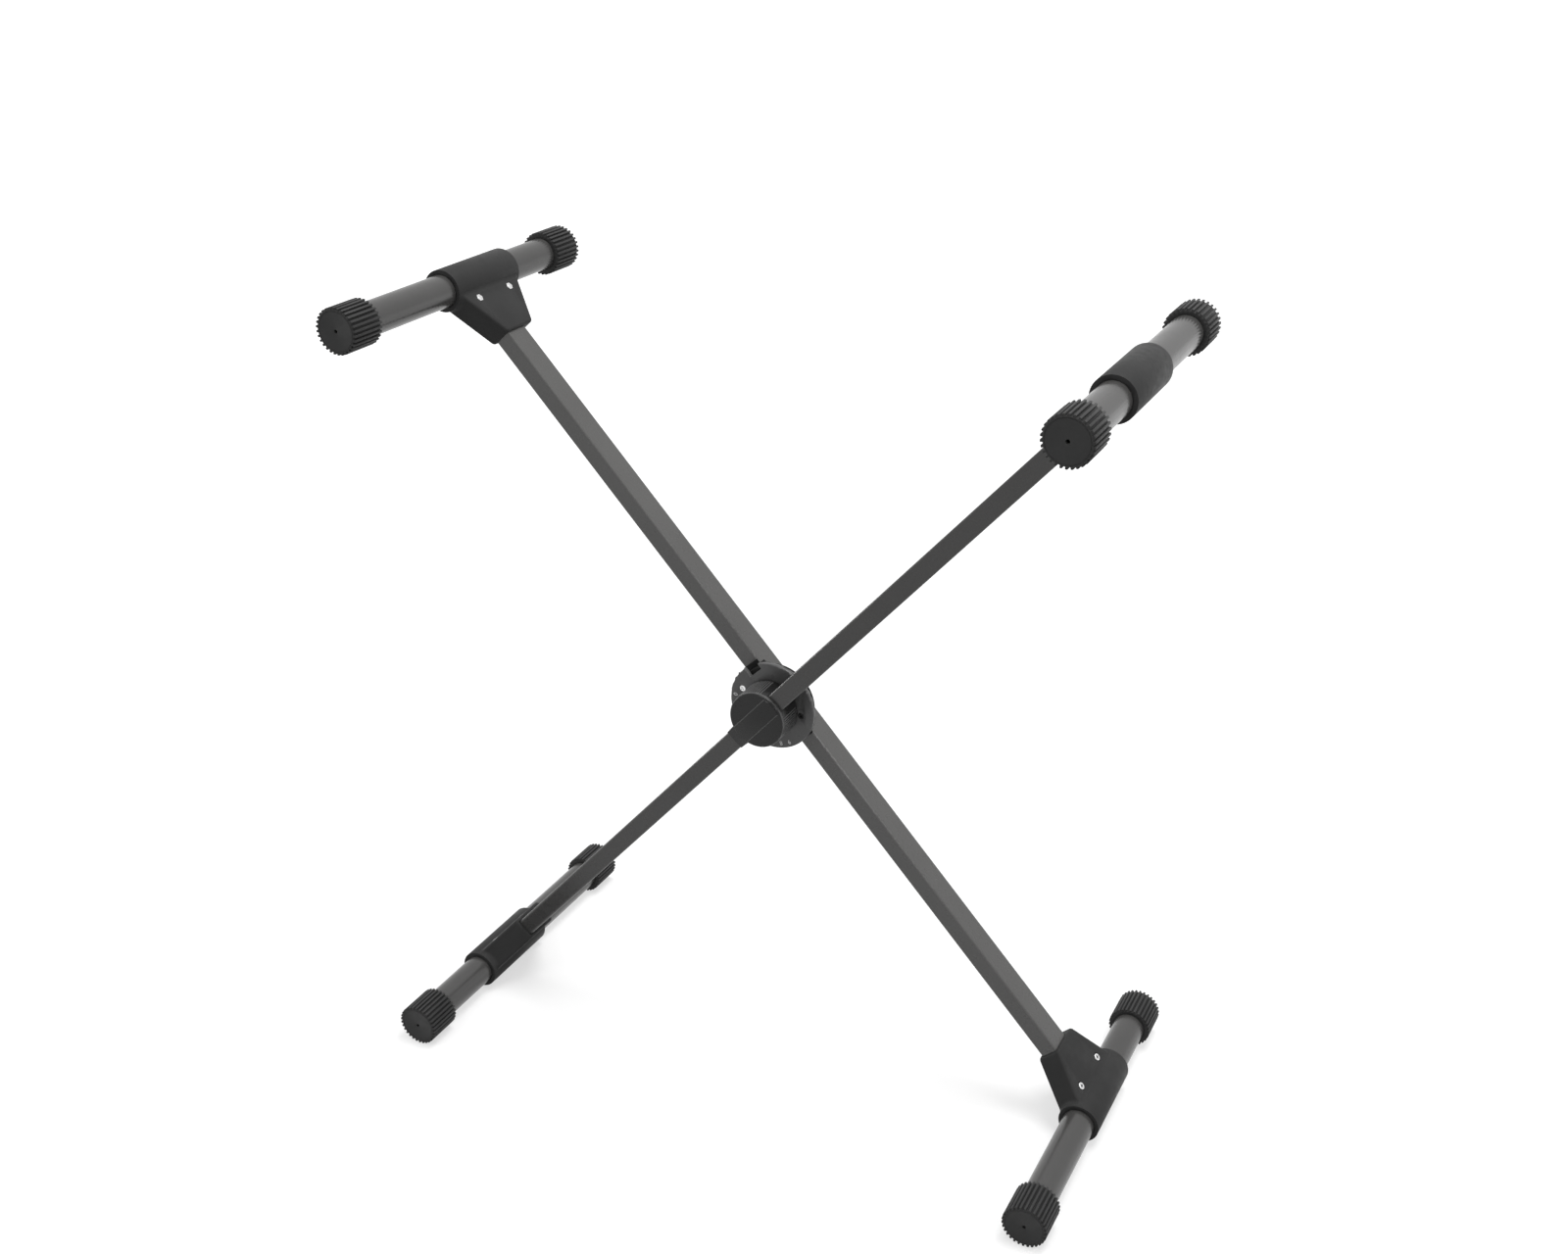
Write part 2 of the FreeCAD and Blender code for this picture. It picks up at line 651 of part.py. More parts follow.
for item in doc.Objects:
    if {"Invalid", "Error"} & set(item.State):
        raise RuntimeError(f"{item.Label} did not build: {item.State}")

os.makedirs("parts", exist_ok=True)
for piece in pieces:
    shape = piece.Shape
    if shape.isNull() or not shape.isValid() or not shape.Solids:
        raise RuntimeError(f"{piece.Label} has no valid solid")
    shape.exportStep(f"parts/{piece.Label}.step")
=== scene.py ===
"""Looks of the folding X keyboard stand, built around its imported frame. Metres, +Z up."""

import json
import math

import bpy
from mathutils import Matrix, Vector

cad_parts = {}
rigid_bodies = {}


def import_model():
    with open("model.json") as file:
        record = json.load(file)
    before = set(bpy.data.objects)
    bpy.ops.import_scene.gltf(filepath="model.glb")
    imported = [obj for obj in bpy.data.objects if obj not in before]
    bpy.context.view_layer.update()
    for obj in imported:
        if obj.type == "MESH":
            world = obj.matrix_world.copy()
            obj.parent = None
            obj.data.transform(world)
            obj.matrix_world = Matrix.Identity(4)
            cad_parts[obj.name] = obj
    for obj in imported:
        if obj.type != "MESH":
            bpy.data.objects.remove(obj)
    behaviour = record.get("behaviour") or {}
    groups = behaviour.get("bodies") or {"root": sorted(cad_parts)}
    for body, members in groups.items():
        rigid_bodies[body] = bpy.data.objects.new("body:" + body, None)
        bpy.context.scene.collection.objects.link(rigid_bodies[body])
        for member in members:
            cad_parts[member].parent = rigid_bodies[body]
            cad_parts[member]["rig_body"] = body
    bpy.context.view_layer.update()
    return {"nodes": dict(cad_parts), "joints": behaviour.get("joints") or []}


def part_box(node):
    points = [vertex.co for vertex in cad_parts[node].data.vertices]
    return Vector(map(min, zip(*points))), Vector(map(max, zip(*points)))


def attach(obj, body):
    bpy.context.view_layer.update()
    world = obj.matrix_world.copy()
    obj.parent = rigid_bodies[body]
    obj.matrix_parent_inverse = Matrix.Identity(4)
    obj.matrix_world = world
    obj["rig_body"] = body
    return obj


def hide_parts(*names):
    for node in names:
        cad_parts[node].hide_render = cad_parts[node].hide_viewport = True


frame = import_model()

MM = 0.001
NODES = frame["nodes"]
ENDS = ("left_foot", "right_foot", "left_support", "right_support")
FRONT_ENDS = ("left_foot", "right_support")
TUBE_SIDES = ("front", "rear")

# Sizes of the finish, in metres and radians
WELD = 0.01 * MM
FLAT_ANGLE = math.radians(0.6)
SMOOTH_ANGLE = math.radians(38)
SHARP_ANGLE = math.radians(34)
SOFT_SEGMENTS = 2
ROUND_SIDES = 128
MOULDED_SOFT = 0.5 * MM
SADDLE_SOFT = 0.4 * MM
PLATE_SOFT = 0.3 * MM
SMALL_SOFT = 0.2 * MM
ARM_LEAN = math.radians(42)
QUARTER = math.pi / 2

# A face points along an axis above the first share of its normal, and across it below the second
ALONG = 0.9
ACROSS = 0.5

# Cap sizes, in metres
CAP_RADIUS = 23.25 * MM
CAP_CORE = 21.0 * MM
CAP_LENGTH = 40 * MM
CAP_END_WALL = 4 * MM
CAP_BORE = 17.05 * MM
CAP_VENT = 1.8 * MM
CAP_RIM = 1.5 * MM
CAP_DISH = 0.4 * MM
CAP_SOFT = 0.5 * MM
CAP_SIDES = 120
CAP_FACE = 360 / CAP_SIDES
RIB_FACES = 2
RIB_PITCH = 4
GROOVE_EDGE = 0.35 * MM

# Screw head sizes, in metres
HEAD_RADIUS = 4 * MM
DRIVE_TOP = 0.2 * MM
DRIVE_FLOOR = 1.7 * MM
DRIVE_REACH = 2.6 * MM
BRACKET_SCREW_SOFT = 0.15 * MM
DISC_SCREW_SOFT = 0.12 * MM

# Hub and dial sizes, in metres and degrees
HUB_RADIUS = 30 * MM
BAND_RADIUS = 28.3 * MM
BAND_WIDTH = 20.4 * MM
BAND_HEIGHT = 0.6 * MM
BAND_SOFT = 0.35 * MM
BEAD_RADIUS = 0.55 * MM
BEAD_SIDES = 16
BEAD_SOFT = 0.15 * MM
COLLAR_RADIUS = 30.3 * MM
COLLAR_START = 1.3 * MM
COLLAR_DEPTH = 3.1 * MM
COLLAR_SINK = 0.2 * MM
COLLAR_SOFT = 0.15 * MM
FLUTE_WIDTH = 1.3 * MM
FLUTE_HEIGHT = 0.9 * MM
FLUTE_SOFT = 0.3 * MM
FLUTE_ENDS = 5 * MM
FLUTE_STEP = 5
FLUTE_GAP = 34
DIAL_RADIUS = 42.2 * MM
DIAL_START = 173.6
DIAL_STEP = 13.8
NUMERAL_SIZE = 6.6 * MM
NUMERAL_HEIGHT = 0.12 * MM
NUMERAL_WEIGHT = 0.12 * MM
NUMERAL_COUNT = 10

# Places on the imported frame
PIVOT = Vector(frame["joints"][0]["pos_m"])
HUB_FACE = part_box("front_hub")[0].y
HUB_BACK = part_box("front_hub")[1].y
DISC_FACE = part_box("pivot_disc")[0].y


# Working by hand: one piece at a time is selected and active
def take(piece):
    """Select one piece alone."""
    bpy.ops.object.select_all(action="DESELECT")
    piece.select_set(True)
    bpy.context.view_layer.objects.active = piece


def settle(piece):
    """Move a piece's place, turn and scale into its mesh."""
    take(piece)
    bpy.ops.object.transform_apply(location=True, rotation=True, scale=True)
    return piece


def leave_editing():
    bpy.ops.object.mode_set(mode="OBJECT")


def pick_faces(piece, wanted):
    """Go into a piece with only the wanted faces selected."""
    take(piece)
    bpy.context.tool_settings.mesh_select_mode = (False, False, True)
    bpy.ops.object.mode_set(mode="EDIT")
    bpy.ops.mesh.select_all(action="DESELECT")
    leave_editing()
    for face in piece.data.polygons:
        face.select = wanted(face)
    bpy.ops.object.mode_set(mode="EDIT")


def pull(distance):
    """Extrude the selected faces along Y."""
    bpy.ops.mesh.extrude_region_move(TRANSFORM_OT_translate={"value": (0, distance, 0)})


def soften(piece, width):
    """Round the sharp edges of a piece a little and shade it smooth."""
    take(piece)
    bevel = piece.modifiers.new("soft_edges", "BEVEL")
    bevel.width = width
    bevel.segments = SOFT_SEGMENTS
    bevel.limit_method = "ANGLE"
    bevel.angle_limit = SHARP_ANGLE
    bevel.use_clamp_overlap = False
    bpy.ops.object.modifier_apply(modifier=bevel.name)
    bpy.ops.object.shade_smooth_by_angle(angle=SMOOTH_ANGLE)


def copy_piece(form, name):
    """Another piece of the same shape with a mesh of its own."""
    piece = form.copy()
    piece.data = form.data.copy()
    piece.name = name
    bpy.context.scene.collection.objects.link(piece)
    return piece


def join_pieces(pieces, name):
    """Make one piece of several."""
    bpy.ops.object.select_all(action="DESELECT")
    for piece in pieces:
        piece.select_set(True)
    bpy.context.view_layer.objects.active = pieces[0]
    bpy.ops.object.join()
    pieces[0].name = name
    return pieces[0]


def working_copy(node):
    """A merged copy of a CAD node, with the flat faces made whole again."""
    piece = bpy.data.objects.new(f"{node}_skin", NODES[node].data.copy())
    bpy.context.scene.collection.objects.link(piece)
    take(piece)
    bpy.ops.mesh.customdata_custom_splitnormals_clear()
    bpy.ops.object.mode_set(mode="EDIT")
    bpy.ops.mesh.select_all(action="SELECT")
    bpy.ops.mesh.remove_doubles(threshold=WELD)
    bpy.ops.mesh.dissolve_limited(angle_limit=FLAT_ANGLE)
    leave_editing()
    return piece


def add_on(piece, node, material):
    """Fix an extra piece to the body of a CAD node."""
    piece.data.materials.clear()
    piece.data.materials.append(material)
    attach(piece, NODES[node]["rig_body"])


def dress(piece, node, material):
    """Let a piece stand for its CAD node, on the same body."""
    add_on(piece, node, material)
    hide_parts(node)


def paint(node, material):
    """Give a CAD node that keeps its own shape a finish."""
    for slot in NODES[node].material_slots:
        slot.link = "OBJECT"
        slot.material = material


# Finishes
NOISE_LOW = 0.3
NOISE_HIGH = 0.7
COAT_IOR = 1.5
PLASTIC_IOR = 1.46


def new_finish(name):
    material = bpy.data.materials.new(name)
    material.use_nodes = True
    tree = material.node_tree
    return material, tree, tree.nodes["Principled BSDF"]


def cloud(tree, scale, detail):
    """Noise in object coordinates, with its scale in features per metre."""
    place = tree.nodes.new("ShaderNodeTexCoord")
    noise = tree.nodes.new("ShaderNodeTexNoise")
    noise.inputs["Scale"].default_value = scale
    noise.inputs["Detail"].default_value = detail
    tree.links.new(place.outputs["Object"], noise.inputs["Vector"])
    return noise.outputs["Fac"]


def ramp(tree, source, stops):
    """A colour that runs between two stops along a source."""
    node = tree.nodes.new("ShaderNodeValToRGB")
    for element, (position, colour) in zip(node.color_ramp.elements, stops):
        element.position = position
        element.color = (*colour, 1)
    tree.links.new(source, node.inputs["Fac"])
    return node.outputs["Color"]


def vary(tree, socket, source, low, high):
    """Let a value of the shader drift between two levels."""
    tree.links.new(ramp(tree, source, [(NOISE_LOW, low), (NOISE_HIGH, high)]), socket)


def grey(level):
    return (level, level, level)


def relief(tree, shader, source, depth, strength):
    """A fine texture of the surface."""
    bump = tree.nodes.new("ShaderNodeBump")
    bump.inputs["Distance"].default_value = depth
    bump.inputs["Strength"].default_value = strength
    tree.links.new(source, bump.inputs["Height"])
    tree.links.new(bump.outputs["Normal"], shader.inputs["Normal"])


def powder_coat(name, dark, light, rough_low, rough_high, shine=0.5):
    """Satin powder coat: an orange-peel skin with a slow drift of shade."""
    material, tree, shader = new_finish(name)
    drift = cloud(tree, scale=14, detail=3.0)
    wear = cloud(tree, scale=90, detail=5.0)
    peel = cloud(tree, scale=1100, detail=2.0)
    vary(tree, shader.inputs["Base Color"], drift, dark, light)
    vary(tree, shader.inputs["Roughness"], wear, grey(rough_low), grey(rough_high))
    relief(tree, shader, peel, depth=0.05 * MM, strength=0.35)
    shader.inputs["IOR"].default_value = COAT_IOR
    shader.inputs["Specular IOR Level"].default_value = shine
    return material


def moulded(name, dark, light, rough_low, rough_high, grain, depth, shine=0.5):
    """Black moulded plastic: fine spark grain and slightly uneven gloss."""
    material, tree, shader = new_finish(name)
    drift = cloud(tree, scale=35, detail=4.0)
    rub = cloud(tree, scale=160, detail=6.0)
    sparks = cloud(tree, scale=grain, detail=3.0)
    vary(tree, shader.inputs["Base Color"], drift, dark, light)
    vary(tree, shader.inputs["Roughness"], rub, grey(rough_low), grey(rough_high))
    relief(tree, shader, sparks, depth, strength=0.4)
    shader.inputs["IOR"].default_value = PLASTIC_IOR
    shader.inputs["Specular IOR Level"].default_value = shine
    return material


def shade_grooves(material, depth_shade):
    """Painted shade: darken the base colour on the faces that the piece's mask attribute marks as
    hollows.
    """
    tree = material.node_tree
    base = tree.nodes["Principled BSDF"].inputs["Base Color"]
    skin = base.links[0].from_socket
    hollow_shade_mask = tree.nodes.new("ShaderNodeAttribute")
    hollow_shade_mask.attribute_name = "hollow_shade_mask"
    shade = ramp(tree, hollow_shade_mask.outputs["Fac"], [(0.0, grey(1.0)), (1.0, grey(depth_shade))])
    mix = tree.nodes.new("ShaderNodeMixRGB")
    mix.blend_type = "MULTIPLY"
    mix.inputs["Fac"].default_value = 1.0
    tree.links.new(skin, mix.inputs["Color1"])
    tree.links.new(shade, mix.inputs["Color2"])
    tree.links.new(mix.outputs["Color"], base)


def plated(name, dark, light, rough_low, rough_high):
    """Bright plated metal with a faint mottle."""
    material, tree, shader = new_finish(name)
    mottle = cloud(tree, scale=700, detail=4.0)
    vary(tree, shader.inputs["Base Color"], mottle, dark, light)
    vary(tree, shader.inputs["Roughness"], mottle, grey(rough_low), grey(rough_high))
    shader.inputs["Metallic"].default_value = 1.0
    return material


# Both arms carry the same powder coat; the front arm's copy is darker as painted shade.
front_coat_shaded = powder_coat("front_coat_shaded", (0.048, 0.047, 0.046), (0.053, 0.052, 0.051),
                         0.25, 0.31, 0.38)
rear_coat = powder_coat("rear_coat", (0.069, 0.068, 0.066), (0.077, 0.076, 0.074), 0.25, 0.31)
tube_coat = powder_coat("tube_coat", (0.050, 0.049, 0.048), (0.056, 0.055, 0.054), 0.21, 0.27)
bracket_plastic = moulded("bracket_plastic", grey(0.034), grey(0.040), 0.42, 0.54,
                          2600, 0.03 * MM, 0.06)
cap_plastic = moulded("cap_plastic", grey(0.037), grey(0.044), 0.44, 0.56, 2200, 0.04 * MM, 0.16)
# The groove floors of the caps get painted shade.
shade_grooves(cap_plastic, 0.38)
# Black plastic of the saddle, made darker than the other mouldings as painted shade from the disc
# in front of it.
saddle_plastic_and_shade = moulded("saddle_plastic_and_shade", grey(0.012), grey(0.017), 0.42, 0.54,
                         2600, 0.03 * MM, 0.06)
disc_plastic = moulded("disc_plastic", grey(0.080), grey(0.091), 0.26, 0.36, 3200, 0.01 * MM, 0.4)
hub_plastic = moulded("hub_plastic", grey(0.008), grey(0.011), 0.24, 0.33, 2800, 0.02 * MM, 0.32)
# The hub's own plastic made much lighter, as painted highlights on its lines, rim and flutes.
hub_painted_highlight = moulded("hub_painted_highlight", grey(0.060), grey(0.085), 0.36, 0.48, 1800, 0.05 * MM, 0.4)
zinc = plated("zinc", grey(0.68), grey(0.80), 0.22, 0.34)
# The cross recesses of the bracket screws get painted shade.
shade_grooves(zinc, 0.1)
# Near-black metal, used only to paint shade on the lower disc screw.
shaded_screw_steel = plated("shaded_screw_steel", grey(0.02), grey(0.035), 0.4, 0.55)
brass = plated("brass", (0.62, 0.44, 0.18), (0.75, 0.55, 0.25), 0.25, 0.4)
lining = moulded("lining", (0.10, 0.075, 0.055), (0.14, 0.11, 0.08), 0.7, 0.85, 1500, 0.05 * MM)
nylon = moulded("nylon", (0.62, 0.61, 0.56), (0.70, 0.69, 0.64), 0.35, 0.5, 2000, 0.02 * MM)
numeral_paint = moulded("numeral_paint", grey(0.62), grey(0.72), 0.4, 0.5, 2500, 0.01 * MM)


# Arms, tubes and the hidden hardware keep their own shape
paint("front_arm", front_coat_shaded)
paint("rear_arm", rear_coat)
for end in ENDS:
    paint(f"{end}_tube", tube_coat)
    paint(f"{end}_bracket_nuts", zinc)
for node in ("pivot_bolt", "front_spacer", "rear_spacer"):
    paint(node, zinc)
paint("friction_washer", lining)
paint("knob_insert", brass)


# End caps: a core, ribs drawn out of it, a bore from behind and a vent in the middle
def is_rib(face):
    turn = math.degrees(math.atan2(face.center.x, -face.center.z))
    return abs(face.normal.y) < ACROSS and round(turn / CAP_FACE + 0.5) % RIB_PITCH < RIB_FACES


def mark_grooves(cap):
    """Mark the floors of the grooves, where the finish paints shade."""
    hollow_shade_mask = cap.data.attributes.new("hollow_shade_mask", "FLOAT", "FACE")
    for face in cap.data.polygons:
        rise = math.hypot(face.center.x, face.center.z) - CAP_CORE
        deep = abs(rise) < GROOVE_EDGE and abs(face.normal.y) < ACROSS
        hollow_shade_mask.data[face.index].value = float(deep)


def make_cap():
    """One cap along Y with its closed end at Y = 0 and a rib straight down."""
    bpy.ops.object.select_all(action="DESELECT")
    bpy.ops.mesh.primitive_cylinder_add(vertices=CAP_SIDES, radius=CAP_CORE, depth=CAP_LENGTH,
                                        location=(0, CAP_LENGTH / 2, 0), rotation=(QUARTER, 0, 0))
    cap = settle(bpy.context.active_object)
    broad = CAP_CORE ** 2
    swell = CAP_RADIUS / CAP_CORE
    pick_faces(cap, is_rib)
    bpy.ops.mesh.extrude_region_move()
    bpy.ops.transform.resize(value=(swell, 1, swell), center_override=(0, 0, 0))
    leave_editing()
    pick_faces(cap, lambda face: face.normal.y > ALONG and face.area > broad)
    bpy.ops.mesh.inset(thickness=CAP_CORE - CAP_BORE)
    pull(CAP_END_WALL - CAP_LENGTH)
    bpy.ops.mesh.inset(thickness=CAP_BORE - CAP_VENT)
    leave_editing()
    pick_faces(cap, lambda face: face.normal.y < -ALONG and face.area > broad)
    bpy.ops.mesh.inset(thickness=CAP_RIM)
    pull(CAP_DISH)
    bpy.ops.mesh.inset(thickness=CAP_CORE - CAP_RIM - CAP_VENT)
    leave_editing()
    vent = 4 * CAP_VENT ** 2
    pick_faces(cap, lambda face: len(face.vertices) == CAP_SIDES and face.area < vent)
    bpy.ops.mesh.bridge_edge_loops()
    bpy.ops.mesh.select_all(action="SELECT")
    bpy.ops.mesh.normals_make_consistent(inside=False)
    leave_editing()
    soften(cap, CAP_SOFT)
    mark_grooves(cap)
    return cap


def set_cap(cap, node):
    """Slide a cap onto its tube end."""
    low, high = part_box(node)
    centre = (low + high) / 2
    outer = low.y
    if node.endswith("rear"):
        cap.rotation_euler = (0, 0, math.pi)
        outer = high.y
    cap.location = (centre.x, outer, centre.z)
    settle(cap)
    dress(cap, node, cap_plastic)


cap_form = make_cap()
for end in ENDS:
    for side in TUBE_SIDES:
        node = f"{end}_cap_{side}"
        set_cap(copy_piece(cap_form, f"{node}_moulding"), node)
bpy.data.objects.remove(cap_form)


# Moulded and turned pieces: the frame's own forms with their edges softened
def soft_copy(node, width, material):
    """A softened copy of a CAD node in its place."""
    piece = working_copy(node)
    soften(piece, width)
    dress(piece, node, material)
    return piece


def mark_drives(screws, lean):
    """Mark the cross recess in the head of each bracket screw, where the finish paints shade."""
    arm = Vector((math.sin(lean), 0, math.cos(lean)))
    flank = Vector((math.cos(lean), 0, -math.sin(lean)))
    corners = [vertex.co for vertex in screws.data.vertices]
    depths = [corner.y for corner in corners]
    rows = (min(depths) + HEAD_RADIUS, max(depths) - HEAD_RADIUS)
    heights = [corner.dot(arm) for corner in corners]
    height = (min(heights) + max(heights)) / 2
    hollow_shade_mask = screws.data.attributes.new("hollow_shade_mask", "FLOAT", "FACE")
    for heading in (flank, -flank):
        top = max(corner.dot(heading) for corner in corners)
        for face in screws.data.polygons:
            sunk = top - face.center.dot(heading)
            rise = face.center.dot(arm) - height
            reach = min(math.hypot(face.center.y - row, rise) for row in rows)
            if DRIVE_TOP < sunk < DRIVE_FLOOR and reach < DRIVE_REACH:
                hollow_shade_mask.data[face.index].value = 1.0


for end in ENDS:
    soft_copy(f"{end}_bracket", MOULDED_SOFT, bracket_plastic)
    lean = ARM_LEAN if end in FRONT_ENDS else -ARM_LEAN
    screws = soft_copy(f"{end}_bracket_screws", BRACKET_SCREW_SOFT, zinc)
    mark_drives(screws, lean)
soft_copy("front_hub", MOULDED_SOFT, hub_plastic)
soft_copy("pivot_disc", PLATE_SOFT, disc_plastic)
soft_copy("rear_saddle", SADDLE_SOFT, saddle_plastic_and_shade)
soft_copy("rear_plate", PLATE_SOFT, zinc)
soft_copy("thrust_washer", SMALL_SOFT, nylon)
soft_copy("clamp_knob", SMALL_SOFT, bracket_plastic)


# Disc screws: the upper one bright zinc, the lower one the same screw painted near black as painted
# shade
def part_of_copy(node, name, wanted):
    """A copy of a CAD node with only the wanted faces left."""
    piece = working_copy(node)
    piece.name = name
    pick_faces(piece, lambda face: not wanted(face))
    bpy.ops.mesh.delete(type="FACE")
    leave_editing()
    soften(piece, DISC_SCREW_SOFT)
    return piece


upper_screw = part_of_copy("disc_screws", "upper_disc_screw",
                           lambda face: face.center.z > PIVOT.z)
dress(upper_screw, "disc_screws", zinc)
lower_screw = part_of_copy("disc_screws", "lower_disc_screw",
                           lambda face: face.center.z < PIVOT.z)
# The lower disc screw is painted near black as painted shade.
add_on(lower_screw, "disc_screws", shaded_screw_steel)


# Hub: a shallow band over the arm with a line along each edge, a rim and fine flutes on the wall;
# the lines, rim and flutes are lighter than the hub as painted highlights
def make_band():
    """A round plate cut to the width of the arm, laid on the face of the hub."""
    bpy.ops.object.select_all(action="DESELECT")
    bpy.ops.mesh.primitive_cylinder_add(vertices=ROUND_SIDES, radius=BAND_RADIUS,
                                        depth=2 * BAND_HEIGHT, rotation=(QUARTER, 0, 0))
    band = settle(bpy.context.active_object)
    for side in (1, -1):
        bpy.ops.object.mode_set(mode="EDIT")
        bpy.ops.mesh.select_all(action="SELECT")
        bpy.ops.mesh.bisect(plane_co=(side * BAND_WIDTH / 2, 0, 0), plane_no=(side, 0, 0),
                            use_fill=True, clear_outer=True)
        leave_editing()
    soften(band, BAND_SOFT)
    band.name = "front_hub_band"
    band.rotation_euler = (0, ARM_LEAN, 0)
    band.location = (PIVOT.x, HUB_FACE, PIVOT.z)
    settle(band)
    add_on(band, "front_hub", hub_plastic)


def make_beads():
    """Two fine half-round lines along the edges of the band, tapered at the ends, coloured light as
    painted highlights.
    """
    half = math.sqrt(BAND_RADIUS ** 2 - (BAND_WIDTH / 2) ** 2)
    beads = []
    for side in (1, -1):
        bpy.ops.object.select_all(action="DESELECT")
        bpy.ops.mesh.primitive_cylinder_add(vertices=BEAD_SIDES, radius=BEAD_RADIUS, depth=2 * half,
                                            location=(side * BAND_WIDTH / 2, -BAND_HEIGHT, 0))
        bead = settle(bpy.context.active_object)
        pick_faces(bead, lambda face: abs(face.normal.z) > ALONG)
        bpy.ops.mesh.inset(thickness=BEAD_RADIUS / 2, use_individual=True)
        leave_editing()
        soften(bead, BEAD_SOFT)
        beads.append(bead)
    beads = join_pieces(beads, "front_hub_beads")
    beads.rotation_euler = (0, ARM_LEAN, 0)
    beads.location = (PIVOT.x, HUB_FACE, PIVOT.z)
    settle(beads)
    add_on(beads, "front_hub", hub_painted_highlight)


def make_collar():
    """A thin ring round the rim of the hub, in front of the arm, coloured light as a painted
    highlight.
    """
    bpy.ops.object.select_all(action="DESELECT")
    bpy.ops.mesh.primitive_cylinder_add(vertices=ROUND_SIDES, radius=COLLAR_RADIUS,
                                        depth=COLLAR_DEPTH,
                                        location=(0, COLLAR_START + COLLAR_DEPTH / 2, 0),
                                        rotation=(QUARTER, 0, 0))
    collar = settle(bpy.context.active_object)
    pick_faces(collar, lambda face: abs(face.normal.y) > ALONG)
    wall = COLLAR_RADIUS - HUB_RADIUS + COLLAR_SINK
    bpy.ops.mesh.inset(thickness=wall, use_individual=True)
    bpy.ops.mesh.delete(type="FACE")
    leave_editing()
    soften(collar, COLLAR_SOFT)
    collar.name = "front_hub_collar"
    collar.location = (PIVOT.x, HUB_FACE, PIVOT.z)
    settle(collar)
    add_on(collar, "front_hub", hub_painted_highlight)


def make_flutes():
    """One fine rib on the wall of the hub, repeated round it except where the arm passes, coloured
    light as painted highlights.
    """
    wall = HUB_BACK - HUB_FACE
    bpy.ops.object.select_all(action="DESELECT")
    bpy.ops.mesh.primitive_cube_add(size=1, location=(0, wall / 2, HUB_RADIUS),
                                    scale=(FLUTE_WIDTH, wall - FLUTE_ENDS, FLUTE_HEIGHT))
    form = settle(bpy.context.active_object)
    soften(form, FLUTE_SOFT)
    flutes = []
    for turn in range(0, 360, FLUTE_STEP):
        from_arm = min(turn % 180, 180 - turn % 180)
        if from_arm > FLUTE_GAP:
            flute = copy_piece(form, "flute")
            flute.rotation_euler = (0, ARM_LEAN + math.radians(turn), 0)
            flutes.append(settle(flute))
    bpy.data.objects.remove(form)
    flutes = join_pieces(flutes, "front_hub_flutes")
    flutes.location = (PIVOT.x, HUB_FACE, PIVOT.z)
    settle(flutes)
    add_on(flutes, "front_hub", hub_painted_highlight)


make_band()
make_beads()
make_collar()
make_flutes()


# Dial: numerals printed round the face of the disc
def make_numeral(text, turn):
    """One numeral on the face of the disc, its foot towards the pivot."""
    bpy.ops.object.select_all(action="DESELECT")
    bpy.ops.object.text_add()
    numeral = bpy.context.active_object
    numeral.data.body = text
    numeral.data.size = NUMERAL_SIZE
    numeral.data.extrude = NUMERAL_HEIGHT
    numeral.data.offset = NUMERAL_WEIGHT
    numeral.data.align_x = "CENTER"
    numeral.data.align_y = "CENTER"
    bpy.ops.object.convert(target="MESH")
    angle = math.radians(turn)
    place = Vector((PIVOT.x + DIAL_RADIUS * math.cos(angle), DISC_FACE,
                    PIVOT.z + DIAL_RADIUS * math.sin(angle)))
    upright = Matrix.Rotation(QUARTER, 4, "X")
    numeral.matrix_world = (Matrix.Translation(place)
                            @ Matrix.Rotation(QUARTER - angle, 4, "Y") @ upright)
    return settle(numeral)


numerals = [make_numeral(str(count), DIAL_START + count * DIAL_STEP)
            for count in range(NUMERAL_COUNT)]
add_on(join_pieces(numerals, "dial_numerals"), "pivot_disc", numeral_paint)

# Stage: pale floor, soft light, camera
CAMERA_PLACE = Vector((0.7707, -1.4680, 1.2905))
CAMERA_YAW = -0.445
CAMERA_PITCH = -0.426
FOCAL_PIXELS = 1837.7
IMAGE_WIDTH = 1600
IMAGE_HEIGHT = 1280
PRINCIPAL_POINT = (854.65, 613.19)
SENSOR = 36.0
CLIP_END = 200
FLOOR_SIZE = 60
FLOOR_SHADE = 0.45
FLOOR_ROUGHNESS = 0.8
FLOOR_GLOW = 0.58
FAR_GLOW = 1.0
GLOW_START = 1.0
GLOW_END = 4.0
HORIZON_LEVEL = 0.16
ZENITH_LEVEL = 0.66
ZENITH_HEIGHT = 0.9
WHITE = (1, 1, 1, 1)
MIDDLE = (0, 0, 0.4)
LOW_MIDDLE = (0, 0, 0.3)


def make_camera():
    data = bpy.data.cameras.new("camera")
    camera = bpy.data.objects.new("camera", data)
    bpy.context.scene.collection.objects.link(camera)
    camera.location = CAMERA_PLACE
    ahead = Vector((math.sin(CAMERA_YAW) * math.cos(CAMERA_PITCH),
                    math.cos(CAMERA_YAW) * math.cos(CAMERA_PITCH),
                    math.sin(CAMERA_PITCH)))
    camera.rotation_euler = ahead.to_track_quat("-Z", "Y").to_euler()
    data.sensor_fit = "HORIZONTAL"
    data.sensor_width = SENSOR
    data.lens = SENSOR * FOCAL_PIXELS / IMAGE_WIDTH
    data.shift_x = (IMAGE_WIDTH / 2 - PRINCIPAL_POINT[0]) / IMAGE_WIDTH
    data.shift_y = (PRINCIPAL_POINT[1] - IMAGE_HEIGHT / 2) / IMAGE_WIDTH
    data.clip_end = CLIP_END
    bpy.context.scene.camera = camera


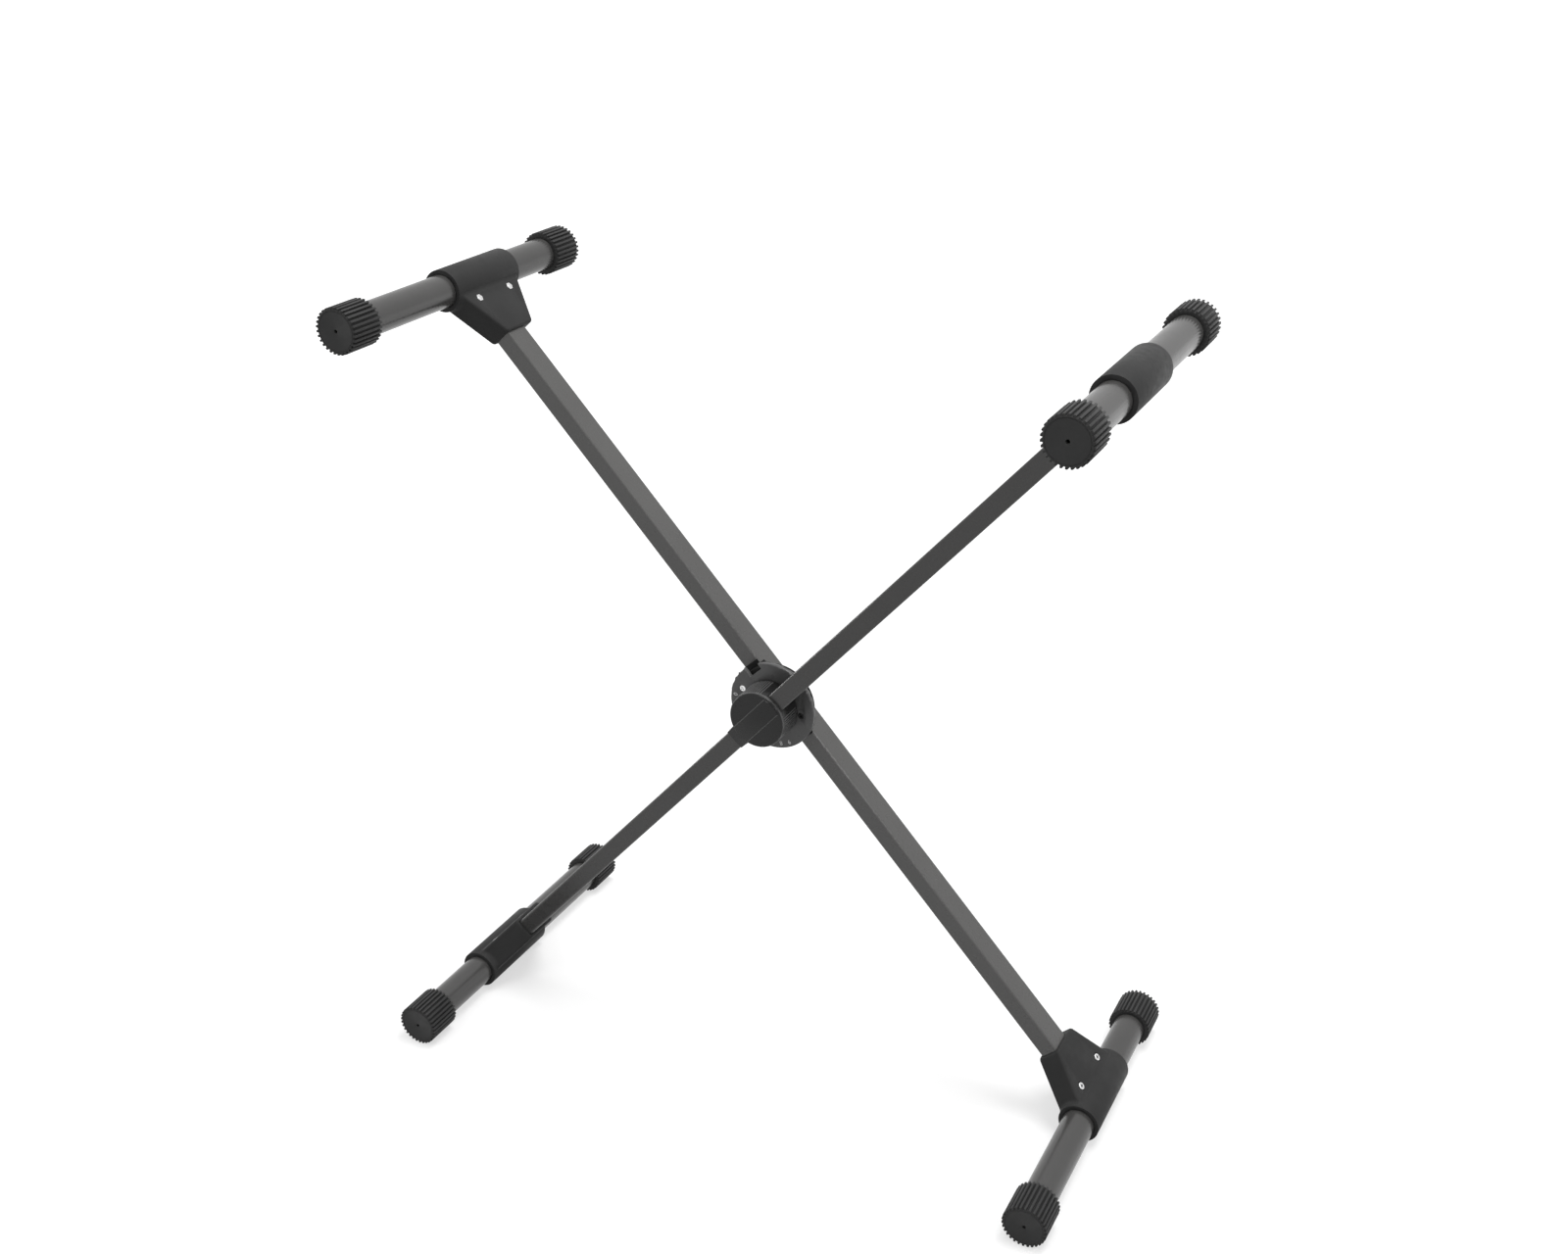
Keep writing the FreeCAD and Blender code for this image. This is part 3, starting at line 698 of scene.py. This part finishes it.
def make_lamp(name, place, aim, size, power):
    data = bpy.data.lights.new(name, "AREA")
    data.shape = "DISK"
    data.size = size
    data.energy = power
    lamp = bpy.data.objects.new(name, data)
    bpy.context.scene.collection.objects.link(lamp)
    lamp.location = place
    lamp.rotation_euler = (Vector(aim) - Vector(place)).to_track_quat("-Z", "Y").to_euler()


def larger(tree, first, second):
    """The larger of two values."""
    node = tree.nodes.new("ShaderNodeMath")
    node.operation = "MAXIMUM"
    tree.links.new(first, node.inputs[0])
    tree.links.new(second, node.inputs[1])
    return node.outputs["Value"]


def seen_directly(tree):
    """1 on camera, glossy and transmission rays, and 0 on the rays that light the object."""
    rays = tree.nodes.new("ShaderNodeLightPath").outputs
    mirrored = larger(tree, rays["Is Glossy Ray"], rays["Is Transmission Ray"])
    return larger(tree, rays["Is Camera Ray"], mirrored)


def make_floor():
    """A pale floor that shows white to the eye and in reflections, and keeps the shadow."""
    bpy.ops.object.select_all(action="DESELECT")
    bpy.ops.mesh.primitive_plane_add(size=FLOOR_SIZE)
    floor = bpy.context.active_object
    floor.name = "floor"
    material, tree, shader = new_finish("floor")
    shader.inputs["Base Color"].default_value = (*grey(FLOOR_SHADE), 1)
    shader.inputs["Roughness"].default_value = FLOOR_ROUGHNESS
    shader.inputs["Specular IOR Level"].default_value = 0.0
    shader.inputs["Emission Color"].default_value = WHITE
    place = tree.nodes.new("ShaderNodeTexCoord")
    reach = tree.nodes.new("ShaderNodeVectorMath")
    reach.operation = "LENGTH"
    tree.links.new(place.outputs["Object"], reach.inputs[0])
    spread = tree.nodes.new("ShaderNodeMapRange")
    spread.inputs["From Min"].default_value = GLOW_START
    spread.inputs["From Max"].default_value = GLOW_END
    spread.inputs["To Min"].default_value = FLOOR_GLOW
    spread.inputs["To Max"].default_value = FAR_GLOW
    tree.links.new(reach.outputs["Value"], spread.inputs["Value"])
    level = tree.nodes.new("ShaderNodeMath")
    level.operation = "MULTIPLY"
    tree.links.new(spread.outputs["Result"], level.inputs[1])
    tree.links.new(seen_directly(tree), level.inputs[0])
    tree.links.new(level.outputs["Value"], shader.inputs["Emission Strength"])
    floor.data.materials.append(material)


def make_world():
    """Soft room light, dim at the horizon and bright overhead, and white where it is seen."""
    world = bpy.data.worlds.new("studio")
    bpy.context.scene.world = world
    world.use_nodes = True
    tree = world.node_tree
    room = tree.nodes["Background"]
    place = tree.nodes.new("ShaderNodeTexCoord")
    split = tree.nodes.new("ShaderNodeSeparateXYZ")
    tree.links.new(place.outputs["Generated"], split.inputs["Vector"])
    sky = ramp(tree, split.outputs["Z"],
               [(0.0, grey(HORIZON_LEVEL)), (ZENITH_HEIGHT, grey(ZENITH_LEVEL))])
    tree.links.new(sky, room.inputs["Color"])
    white_room = tree.nodes.new("ShaderNodeBackground")
    white_room.inputs["Color"].default_value = WHITE
    choice = tree.nodes.new("ShaderNodeMixShader")
    tree.links.new(seen_directly(tree), choice.inputs["Fac"])
    tree.links.new(room.outputs["Background"], choice.inputs[1])
    tree.links.new(white_room.outputs["Background"], choice.inputs[2])
    tree.links.new(choice.outputs["Shader"], tree.nodes["World Output"].inputs["Surface"])


make_camera()
make_floor()
make_world()
make_lamp("overhead", (0.85, 0.85, 5.0), MIDDLE, 2.4, 150)
make_lamp("left_strip", (-2.8, 0.2, 0.7), LOW_MIDDLE, 0.5, 12)
make_lamp("front_top", (-0.6, -1.6, 2.6), MIDDLE, 1.0, 8)
make_lamp("right_side", (2.2, 0.1, 2.1), MIDDLE, 0.8, 14)
make_lamp("right_front", (1.9, -1.9, 1.8), MIDDLE, 0.4, 5)
make_lamp("left_side", (-2.1, 0.3, 2.2), MIDDLE, 0.8, 5)
bpy.context.scene.view_settings.view_transform = "Standard"
